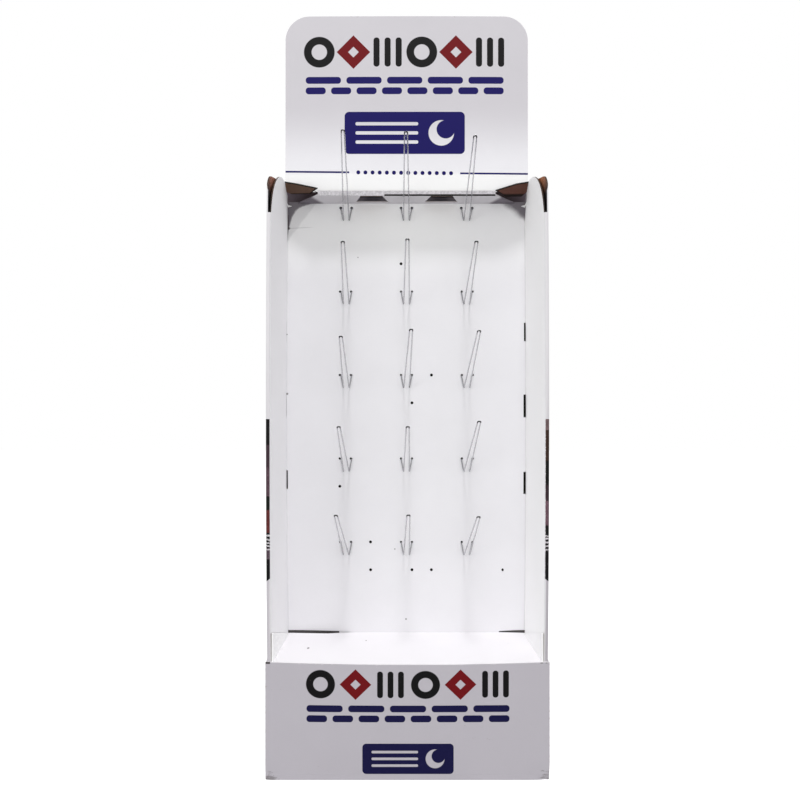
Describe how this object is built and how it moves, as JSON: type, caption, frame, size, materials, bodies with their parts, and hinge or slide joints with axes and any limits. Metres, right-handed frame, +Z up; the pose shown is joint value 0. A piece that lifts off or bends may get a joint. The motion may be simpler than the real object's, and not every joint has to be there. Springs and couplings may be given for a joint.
{
  "type": "cardboard display stand",
  "caption": "Free-standing folded corrugated-board display with a base shelf, a pegged back panel carrying clear double-rod hooks, hollow side walls and a header card.",
  "frame": {"origin": "middle of the footprint, on the floor", "axes": "+Z up, -Y towards the shopper (the open front), +X to the right as seen from the front"},
  "size_m": [0.57, 0.216, 1.63],
  "materials": {
    "body_board": "white-lined corrugated board, kraft inside",
    "header_board": "white-lined corrugated board, printed",
    "base_board": "white-lined corrugated board, printed and scuffed",
    "rib_board": "plain kraft corrugated board",
    "hook_clear": "clear moulded plastic"
  },
  "bodies": {
    "root": {"body_shell": "body_board", "header_card": "header_board", "base_sleeve": "base_board", "rib_long": "rib_board", "rib_left": "rib_board", "rib_right": "rib_board", "hook_row1_1": "hook_clear", "hook_row1_2": "hook_clear", "hook_row1_3": "hook_clear", "hook_row2_1": "hook_clear", "hook_row2_2": "hook_clear", "hook_row2_3": "hook_clear", "hook_row3_1": "hook_clear", "hook_row3_2": "hook_clear", "hook_row3_3": "hook_clear", "hook_row4_1": "hook_clear", "hook_row4_2": "hook_clear", "hook_row4_3": "hook_clear", "hook_row5_1": "hook_clear", "hook_row5_2": "hook_clear", "hook_row5_3": "hook_clear"}
  },
  "joints": []
}
